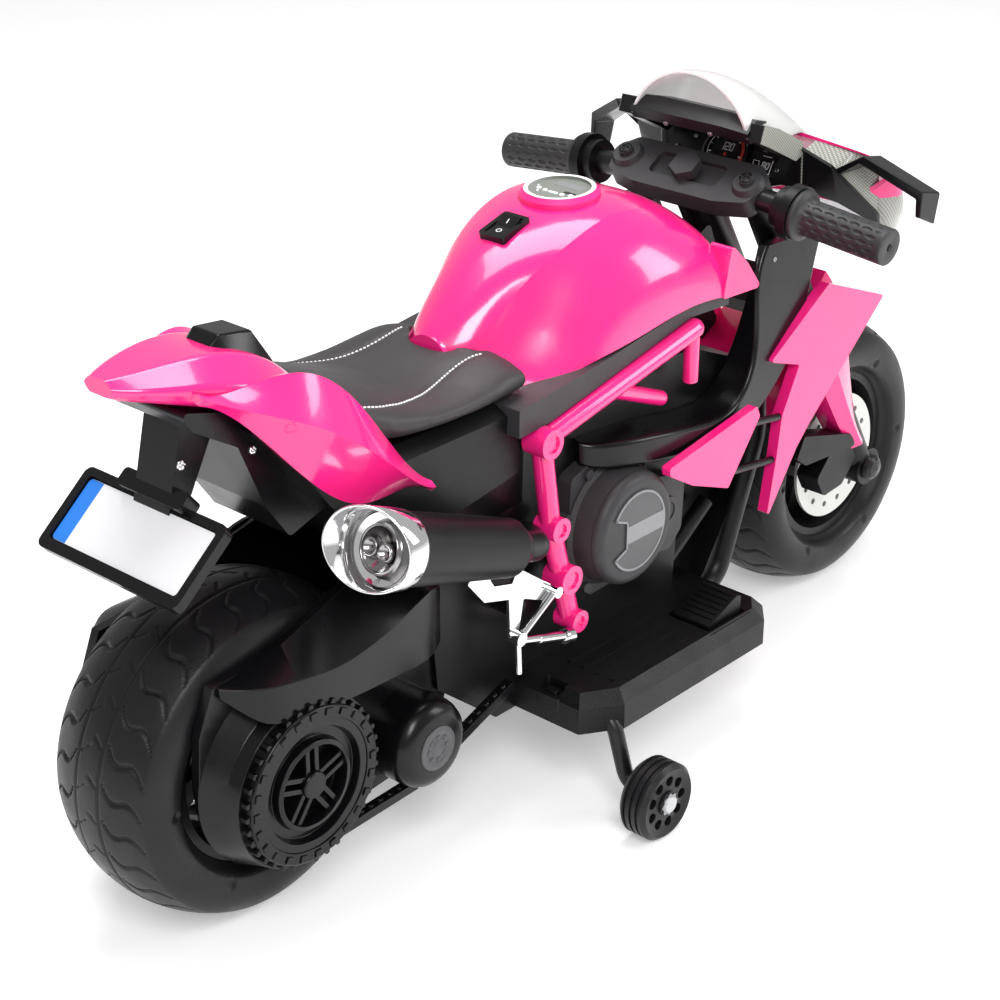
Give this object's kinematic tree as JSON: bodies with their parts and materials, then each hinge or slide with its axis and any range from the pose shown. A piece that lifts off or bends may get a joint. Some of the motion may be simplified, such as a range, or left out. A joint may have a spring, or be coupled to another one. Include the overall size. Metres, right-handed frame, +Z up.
{
  "type": "kids electric motorbike",
  "caption": "Child's ride-on electric sport motorbike with steered fork, road wheels, stabiliser wheels, footboards, pedal, tank switch and padded seat.",
  "frame": {"origin": "on the floor, half-way between the two wheel axles, on the centre plane", "axes": "+X forward, +Y to the rider's left, +Z up"},
  "size_m": [1.06, 0.454, 0.565],
  "materials": {
    "pink_plastic": "glossy moulded plastic",
    "black_plastic": "satin moulded plastic",
    "gloss_black": "glossy moulded plastic",
    "chrome_plate": "bright plated plastic",
    "tyre_plastic": "blown plastic with a moulded tread",
    "grip_rubber": "ribbed soft grip",
    "disc_silver": "silver printed disc",
    "seat_cover": "grained synthetic leather, white stitching",
    "screen_clear": "clear moulded screen",
    "lens_clear": "clear lens",
    "badge_grey": "grey inset face",
    "plate_white": "plain white plate",
    "steel": "black painted steel",
    "motor_metal": "plain can"
  },
  "bodies": {
    "chassis": {"battery": "black_plastic", "body_shell_left": "black_plastic", "body_shell_right": "black_plastic", "control_box": "black_plastic", "dash_panel": "black_plastic", "drive_unit": "motor_metal", "engine_badges": "badge_grey", "engine_covers": "black_plastic", "exhaust_can": "black_plastic", "exhaust_tip": "chrome_plate", "fairing_left": "pink_plastic", "fairing_right": "pink_plastic", "footboard_left": "black_plastic", "footboard_right": "black_plastic", "head_frame": "steel", "headlight": "lens_clear", "heel_guards": "chrome_plate", "nose_cowl": "pink_plastic", "number_plate": "plate_white", "plate_bracket": "black_plastic", "plate_holder": "gloss_black", "pod_stays": "black_plastic", "rear_axle": "steel", "seat_cushion": "seat_cover", "side_duct_left": "black_plastic", "side_duct_right": "black_plastic", "side_pods": "pink_plastic", "stabiliser_arms": "steel", "swingarm_left": "black_plastic", "swingarm_right": "black_plastic", "switch_bezel": "gloss_black", "tail_bump": "gloss_black", "tail_cowl": "pink_plastic", "tail_panel_left": "pink_plastic", "tail_panel_right": "pink_plastic", "tail_undertray": "black_plastic", "tank_cover": "pink_plastic", "tank_panel": "badge_grey", "tank_trims": "black_plastic", "trellis_left": "pink_plastic", "trellis_right": "pink_plastic", "windshield": "screen_clear", "winglets": "gloss_black"},
    "steering": {"triple_clamp": "black_plastic", "handlebar": "black_plastic", "grips": "grip_rubber", "throttle_collars": "black_plastic", "fork_left": "black_plastic", "fork_right": "black_plastic", "front_mudguard": "pink_plastic", "front_axle": "chrome_plate"},
    "front_wheel": {"front_tyre": "tyre_plastic", "front_rim": "black_plastic", "brake_discs": "disc_silver"},
    "rear_wheel": {"rear_tyre": "tyre_plastic", "rear_rim": "black_plastic"},
    "stabiliser_left": {"stabiliser_wheel_left": "tyre_plastic"},
    "stabiliser_right": {"stabiliser_wheel_right": "tyre_plastic"},
    "accelerator": {"pedal": "black_plastic"},
    "power_switch": {"rocker_switch": "gloss_black"}
  },
  "joints": [
    {"name": "steering_turn", "type": "hinge", "parent": "chassis", "child": "steering", "pos_m": [0.39, 0, 0.14], "axis": [-0.515, 0, 0.8572], "range_deg": [-17, 17]},
    {"name": "front_wheel_spin", "type": "hinge", "parent": "steering", "child": "front_wheel", "pos_m": [0.39, 0, 0.14], "axis": [0, 1, 0], "continuous": true},
    {"name": "rear_wheel_spin", "type": "hinge", "parent": "chassis", "child": "rear_wheel", "pos_m": [-0.39, 0, 0.14], "axis": [0, 1, 0], "continuous": true},
    {"name": "stabiliser_left_spin", "type": "hinge", "parent": "chassis", "child": "stabiliser_left", "pos_m": [-0.098, 0.209, 0.0347], "axis": [0, 1, 0], "continuous": true},
    {"name": "stabiliser_right_spin", "type": "hinge", "parent": "chassis", "child": "stabiliser_right", "pos_m": [-0.098, -0.209, 0.0347], "axis": [0, 1, 0], "continuous": true},
    {"name": "pedal_press", "type": "hinge", "parent": "chassis", "child": "accelerator", "pos_m": [0.047, -0.132, 0.1175], "axis": [0, 1, 0], "range_deg": [0, 6], "stiffness_Nm_per_rad": 1, "springref_deg": -5.73},
    {"name": "switch_rock", "type": "hinge", "parent": "chassis", "child": "power_switch", "pos_m": [-0.058, 0, 0.479], "axis": [0, 1, 0], "range_deg": [0, 18]}
  ]
}
